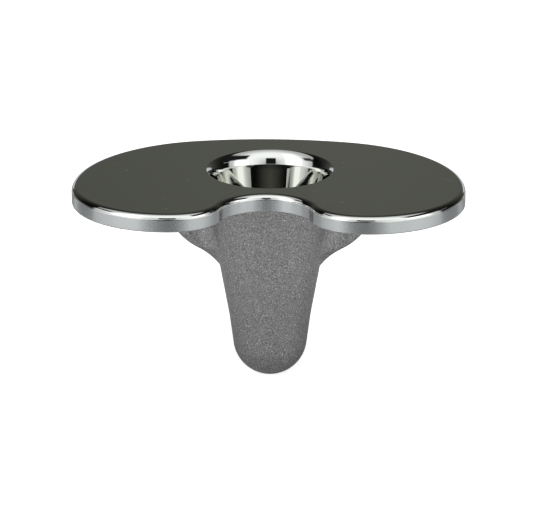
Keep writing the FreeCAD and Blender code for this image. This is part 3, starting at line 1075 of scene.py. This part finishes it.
@dataclass(frozen=True)
class Sky:
    """What the metal mirrors: a white tent over the near half, a dark far half, and bright and dark patches.

    Angles are in degrees, azimuth from the camera's side and elevation above the horizon. The parts of
    a ray's direction are x to the right, y away from the camera and z upwards.

    Attributes:
        far_colour: Colour of the far half at full level.
        far_turn: Level of the far half by azimuth.
        far_core: Level added straight behind the object, by azimuth.
        far_rise: Level of the far half by elevation.
        tent_colour: Colour of the tent.
        tent_level: Brightness of the tent.
        tent_edge: Cover of the tent by the ray's y.
        tent_near: Level of the tent by the ray's y.
        roof: How much of the bulge the tent's edge has, by the ray's z.
        bulge_aside: Bulge of the tent's edge for each unit of x.
        bulge_up: Bulge of the tent's edge for each unit of z.
        dip_turn: Depth of the dip in the tent's light round the camera, by azimuth.
        dip_rise: Depth of the dip by elevation.
        dip_depth: Share of the light that the dip takes.
        sweep_colour: Colour of the pale sweep behind the object, low down.
        sweep_rise: Cover of the sweep by elevation.
        sweep_turn: Cover of the sweep by azimuth.
        patches: Bright and dark panels, lamps and slits, and last the camera's own dark place.
    """

    far_colour: tuple[float, float, float] = (0.118, 0.121, 0.108)
    far_turn: Ease = Ease(110.0, 178.0, 0.06, 0.92)
    far_core: Ease = Ease(172.0, 180.0, 0.0, 0.12)
    far_rise: Ease = Ease(14.0, 40.0, 1.0, 0.55)
    tent_colour: tuple[float, float, float] = (0.98, 1.0, 1.02)
    tent_level: float = 1.42
    tent_edge: Ease = Ease(0.12, 0.02)
    tent_near: Ease = Ease(0.15, -0.5, 0.45, 1.0)
    roof: Ease = Ease(0.48, 0.72)
    bulge_aside: float = 0.23
    bulge_up: float = 0.08
    dip_turn: Ease = Ease(45.0, 5.0)
    dip_rise: Ease = Ease(42.0, 12.0)
    dip_depth: float = 0.5
    sweep_colour: tuple[float, float, float] = (0.66, 0.7, 0.77)
    sweep_rise: Ease = Ease(13.0, 8.0)
    sweep_turn: Ease = Ease(150.0, 156.0)
    patches: tuple[Patch, ...] = (
        Patch((84.0, 110.0), (21.0, 21.9), 0.8, 1.1),
        Patch((-95.0, -84.0), (21.0, 21.9), 0.8, 1.1),
        Patch((-100.0, -75.0), (26.0, 41.0), 8.0, 0.05),
        Patch((52.0, 125.0), (27.0, 53.0), 8.0, 0.015),
        Patch((-64.0, -34.0), (-10.0, 60.0), 16.0, 2.1),
        Patch((50.0, 78.0), (-10.0, 26.0), 12.0, 2.1),
        Patch((-10.5, 10.5), (7.0, 31.0), 3.0, 0.012),
    )

    def far_half(self, tree: NodeTree, aside: Source, elevation: Source) -> bpy.types.Node:
        """Darken the far half away from straight behind the object and towards the top.

        Args:
            tree: Node tree of the sky.
            aside: Azimuth without its sign.
            elevation: Elevation.

        Returns:
            Light of the far half.
        """
        add = partial(add_node, tree)
        turn, core = eased(tree, [(aside, self.far_turn)]), eased(tree, [(aside, self.far_core)])
        level = add("Math", [turn, core], operation="ADD")
        level = add("Math", [level, eased(tree, [(elevation, self.far_rise)])], operation="MULTIPLY")
        return add("VectorMath", {0: self.far_colour, "Scale": level}, operation="SCALE")

    def tent_cover(self, tree: NodeTree, way: Sequence[Source]) -> bpy.types.Node:
        """Find where the tent is, its far edge bulging away from the camera overhead.

        Args:
            tree: Node tree of the sky.
            way: Parts x, y and z of the ray's direction.

        Returns:
            One in the tent and zero beyond its edge.
        """
        add = partial(add_node, tree)
        x, y, z = way
        rise = add("Math", [z, self.bulge_up], operation="MULTIPLY")
        beside = add("Math", [x], operation="ABSOLUTE")
        bulge = add("Math", [beside, self.bulge_aside, rise], operation="MULTIPLY_ADD")
        bulge = add("Math", [eased(tree, [(z, self.roof)]), bulge], operation="MULTIPLY")
        edge = add("Math", [y, bulge], operation="SUBTRACT")
        return eased(tree, [(edge, self.tent_edge)])

    def tent_light(self, tree: NodeTree, y: Source, aside: Source, elevation: Source) -> bpy.types.Node:
        """Light the tent, less round the camera and towards its far edge.

        Args:
            tree: Node tree of the sky.
            y: Part of the ray's direction that points away from the camera.
            aside: Azimuth without its sign.
            elevation: Elevation.

        Returns:
            Light of the tent.
        """
        add = partial(add_node, tree)
        dip = eased(tree, [(aside, self.dip_turn), (elevation, self.dip_rise)])
        level = add("Math", [dip, -self.dip_depth, 1.0], operation="MULTIPLY_ADD")
        level = add("Math", [eased(tree, [(y, self.tent_near)]), level], operation="MULTIPLY")
        level = add("Math", [level, self.tent_level], operation="MULTIPLY")
        return add("VectorMath", {0: self.tent_colour, "Scale": level}, operation="SCALE")

    def build(self) -> None:
        """Paint the sky by direction, so that the metal has a studio to mirror."""
        world = bpy.data.worlds.new("studio")
        bpy.context.scene.world = world
        world.use_nodes = True
        tree = world.node_tree
        tree.nodes.clear()
        add = partial(add_node, tree)
        way = add("SeparateXYZ", [add("TexCoord").outputs["Generated"]]).outputs
        x, y, z = way
        toward = add("Math", [y, -1.0], operation="MULTIPLY")
        turn = add("Math", [x, toward], operation="ARCTAN2")
        azimuth = add("Math", [turn], operation="DEGREES")
        aside = add("Math", [azimuth], operation="ABSOLUTE")
        rise = add("Math", [z], operation="ARCSINE")
        elevation = add("Math", [rise], operation="DEGREES")

        light = self.far_half(tree, aside, elevation)
        tent = self.tent_light(tree, y, aside, elevation)
        sweep = eased(tree, [(elevation, self.sweep_rise), (aside, self.sweep_turn)])
        layers = [(self.tent_cover(tree, way), tent), (sweep, (*self.sweep_colour, 1.0))]
        for patch in self.patches:
            cover = eased(tree, patch.limits(azimuth, elevation))
            layers.append((cover, (patch.level, patch.level, patch.level, 1.0)))
        for cover, colour in layers:
            light = add("Mix", {0: cover, 6: light, 7: colour}, data_type="RGBA")
        background = add("Background", {"Color": light, "Strength": 1.0})
        add("OutputWorld", {"Surface": background})


@dataclass(frozen=True)
class Floor:
    """Round white card under the stem's tip, with dark and unlit places and a painted shadow of the object
    that only reflections see.

    Attributes:
        drop: Depth of the card below the plate's underside, in mm as all sizes here.
        radius: Radius of the card.
        sides: Sides of its outline.
        card_colour: Colour of the card.
        dark_colour: Colour of its dark places and of the painted shadow round the stem's tip.
        glow: Light of its own that the camera and clear things see.
        mirrored_glow: Light of its own that reflections see.
        cloth_centre: Place of the dark cloth before the object, from the stem axis to the right.
        cloth_width: Width of the cloth.
        cloth_reach: From the stem axis to the cloth's near edge.
        outer_away: Darkness beside and behind the object by the distance from the axis.
        outer_behind: The same by y.
        outer_lean: How far the dark places' inner sides lean outwards for each mm of y.
        outer_aside: Darkness by the distance from that side.
        behind: Darkness behind the object by y.
        under: Painted shadow of the object round the stem's tip, by the distance from the axis.
        gap_lean: How far the unlit gaps' near ends lean forwards for each mm aside.
        gap_near: Depth of the gaps by that leaning distance.
        gap_far: Depth of the gaps by y.
        gap_aside: Depth of the gaps by the distance aside.
        painted_shadow_fade: Light by the distance from the axis, less under the plate, which paints the
        object's shadow.
    """

    drop: float = 37.0
    radius: float = 2500.0
    sides: int = 96
    card_colour: str = "#F4F4F4"
    dark_colour: str = "#1C1C1E"
    glow: float = 0.8
    mirrored_glow: float = 0.6
    cloth_centre: float = -8.0
    cloth_width: float = 150.0
    cloth_reach: float = 110.0
    outer_away: Ease = Ease(150.0, 165.0, 0.0, 0.8)
    outer_behind: Ease = Ease(-10.0, 5.0)
    outer_lean: float = 0.9
    outer_aside: Ease = Ease(-10.0, 10.0)
    behind: Ease = Ease(66.0, 90.0, 0.0, 0.65)
    # Painted shadow of the object round the stem's tip, which only reflections see.
    under: Ease = Ease(50.0, 20.0, 0.0, 0.6)
    gap_lean: float = 0.5
    gap_near: Ease = Ease(61.0, 73.0)
    gap_far: Ease = Ease(70.0, 58.0)
    gap_aside: Ease = Ease(50.0, 62.0)
    # Painted shadow of the object in the light that reflections see.
    painted_shadow_fade: Ease = Ease(30.0, 160.0, 0.05, 1.0)

    def darkness(self, tree: NodeTree, x: Source, y: Source, away: Source) -> bpy.types.Node:
        """Lay the cloth, the dark places and the painted shadow round the stem's tip.

        Args:
            tree: Node tree of the card.
            x: Place to the right of the stem axis, in metres.
            y: Place behind the stem axis, in metres.
            away: Distance from the axis, in metres.

        Returns:
            Share of the dark colour.
        """
        add = partial(add_node, tree)
        shifted = add("Math", [x, -self.cloth_centre * MM], operation="ADD")
        off = add("Math", [shifted], operation="ABSOLUTE")
        across = add("Math", [off, self.cloth_width / 2 * MM], operation="LESS_THAN")
        before = add("Math", [y, -self.cloth_reach * MM], operation="LESS_THAN")
        dark = add("Math", [across, before], operation="MULTIPLY")
        beside = add("Math", [x], operation="ABSOLUTE")
        side = add("Math", [y, -self.outer_lean, beside], operation="MULTIPLY_ADD")
        outer = [(away, self.outer_away), (y, self.outer_behind), (side, self.outer_aside)]
        # The last of these is the painted shadow round the stem's tip.
        for limits in (outer, [(y, self.behind)], [(away, self.under)]):
            dark = add("Math", [dark, eased(tree, limits, MM)], operation="MAXIMUM")
        return dark

    def mirrored_light(self, tree: NodeTree, x: Source, y: Source, away: Source) -> bpy.types.Node:
        """Light the card for reflections, except in its gaps and in its painted shadow round the axis.

        Args:
            tree: Node tree of the card.
            x: Place to the right of the stem axis, in metres.
            y: Place behind the stem axis, in metres.
            away: Distance from the axis, in metres.

        Returns:
            Light of its own that reflections see.
        """
        add = partial(add_node, tree)
        beside = add("Math", [x], operation="ABSOLUTE")
        slant = add("Math", [beside, self.gap_lean, y], operation="MULTIPLY_ADD")
        gap = eased(tree, [(slant, self.gap_near), (y, self.gap_far), (beside, self.gap_aside)], MM)
        level = add("Math", [gap, -self.mirrored_glow, self.mirrored_glow], operation="MULTIPLY_ADD")
        # Painted shadow: the light fades towards the stem axis.
        return add("Math", [level, eased(tree, [(away, self.painted_shadow_fade)], MM)], operation="MULTIPLY")

    def card(self) -> bpy.types.Material:
        """Make the card's material.

        Returns:
            The material, matt white with a light of its own that puts the picture's ground near white.
        """
        material = bpy.data.materials.new("white_card_matt")
        material.use_nodes = True
        tree = material.node_tree
        tree.nodes.clear()
        add = partial(add_node, tree)
        rays = add("LightPath").outputs
        place = add("TexCoord").outputs["Object"]
        x, y, _ = add("SeparateXYZ", [place]).outputs
        away = add("VectorMath", [place], operation="LENGTH")
        # The dark places and the painted shadow reach only reflections.
        dark = add("Math", [self.darkness(tree, x, y, away), rays["Is Glossy Ray"]], operation="MULTIPLY")
        ends = {0: dark, 6: linear(self.card_colour), 7: linear(self.dark_colour)}
        shade = add("Mix", ends, data_type="RGBA")
        seen = add("Math", [rays["Is Camera Ray"], rays["Is Transmission Ray"]], operation="MAXIMUM")
        level = add("Math", [seen, self.glow], operation="MULTIPLY")
        mirrored = self.mirrored_light(tree, x, y, away)
        level = add("Math", [rays["Is Glossy Ray"], mirrored, level], operation="MULTIPLY_ADD")
        bare = add("Math", [1.0, dark], operation="SUBTRACT")
        lit = add("Math", [bare, level], operation="MULTIPLY")
        matt = add("BsdfDiffuse", {"Color": shade})
        glow = add("Emission", {"Color": (1.0, 1.0, 1.0, 1.0), "Strength": lit})
        add("OutputMaterial", {"Surface": add("AddShader", [matt, glow])})
        return material

    def build(self) -> None:
        """Lay the card under the stem's tip."""
        angles = [math.tau * i / self.sides for i in range(self.sides)]
        reach, height = self.radius * MM, -self.drop * MM
        ring = [(reach * math.cos(angle), reach * math.sin(angle), height) for angle in angles]
        mesh = bpy.data.meshes.new("studio_floor")
        mesh.from_pydata(ring, [], [list(range(self.sides))])
        mesh.materials.append(self.card())
        floor = bpy.data.objects.new("studio_floor", mesh)
        bpy.context.scene.collection.objects.link(floor)


@dataclass(frozen=True)
class Camera:
    """Camera where the photograph was taken from.

    Attributes:
        aim_height: Height of the point on the stem axis that it looks at, in mm.
        distance: Distance from that point, in mm.
        yaw: Angle to the right of straight behind the notch, in degrees.
        pitch: Angle above the horizontal, in degrees.
        lens: Focal length, in mm.
        sensor: Width of the sensor, in mm.
        nearest: Distance where its view starts, in mm.
        farthest: Distance where its view ends, in mm.
    """

    aim_height: float = -13.141
    distance: float = 450.0
    yaw: float = 1.876
    pitch: float = 19.826
    lens: float = 161.35
    sensor: float = 36.0
    nearest: float = 50.0
    farthest: float = 10000.0

    def build(self) -> None:
        """Stand the camera and make it the scene's."""
        aim = Vector((0.0, 0.0, self.aim_height)) * MM
        yaw, pitch = math.radians(self.yaw), math.radians(self.pitch)
        level = math.cos(pitch)
        away = Vector((level * math.sin(yaw), -level * math.cos(yaw), math.sin(pitch)))
        data = bpy.data.cameras.new("camera")
        data.lens = self.lens
        data.sensor_width = self.sensor
        data.clip_start, data.clip_end = self.nearest * MM, self.farthest * MM
        camera = bpy.data.objects.new("camera", data)
        camera.location = aim + self.distance * MM * away
        camera.rotation_euler = away.to_track_quat("Z", "Y").to_euler()
        bpy.context.scene.collection.objects.link(camera)
        bpy.context.scene.camera = camera


@dataclass(frozen=True)
class Studio:
    """Surroundings of the object.

    Attributes:
        sky: What lights the object and what it mirrors.
        floor: Card that it stands on.
        camera: Camera that sees it.
    """

    sky: Sky = Sky()
    floor: Floor = Floor()
    camera: Camera = Camera()

    def build(self) -> None:
        """Set up sky, floor and camera."""
        for part in (self.sky, self.floor, self.camera):
            part.build()
        bpy.context.scene.view_settings.view_transform = "Standard"


def main() -> None:
    """Build the baseplate and its studio."""
    logging.basicConfig(level=logging.INFO, format="%(name)s: %(message)s")
    body = Baseplate().build()
    log.info("%s: %d faces", body.name, len(body.data.polygons))
    Studio().build()


if __name__ == "__main__":
    main()
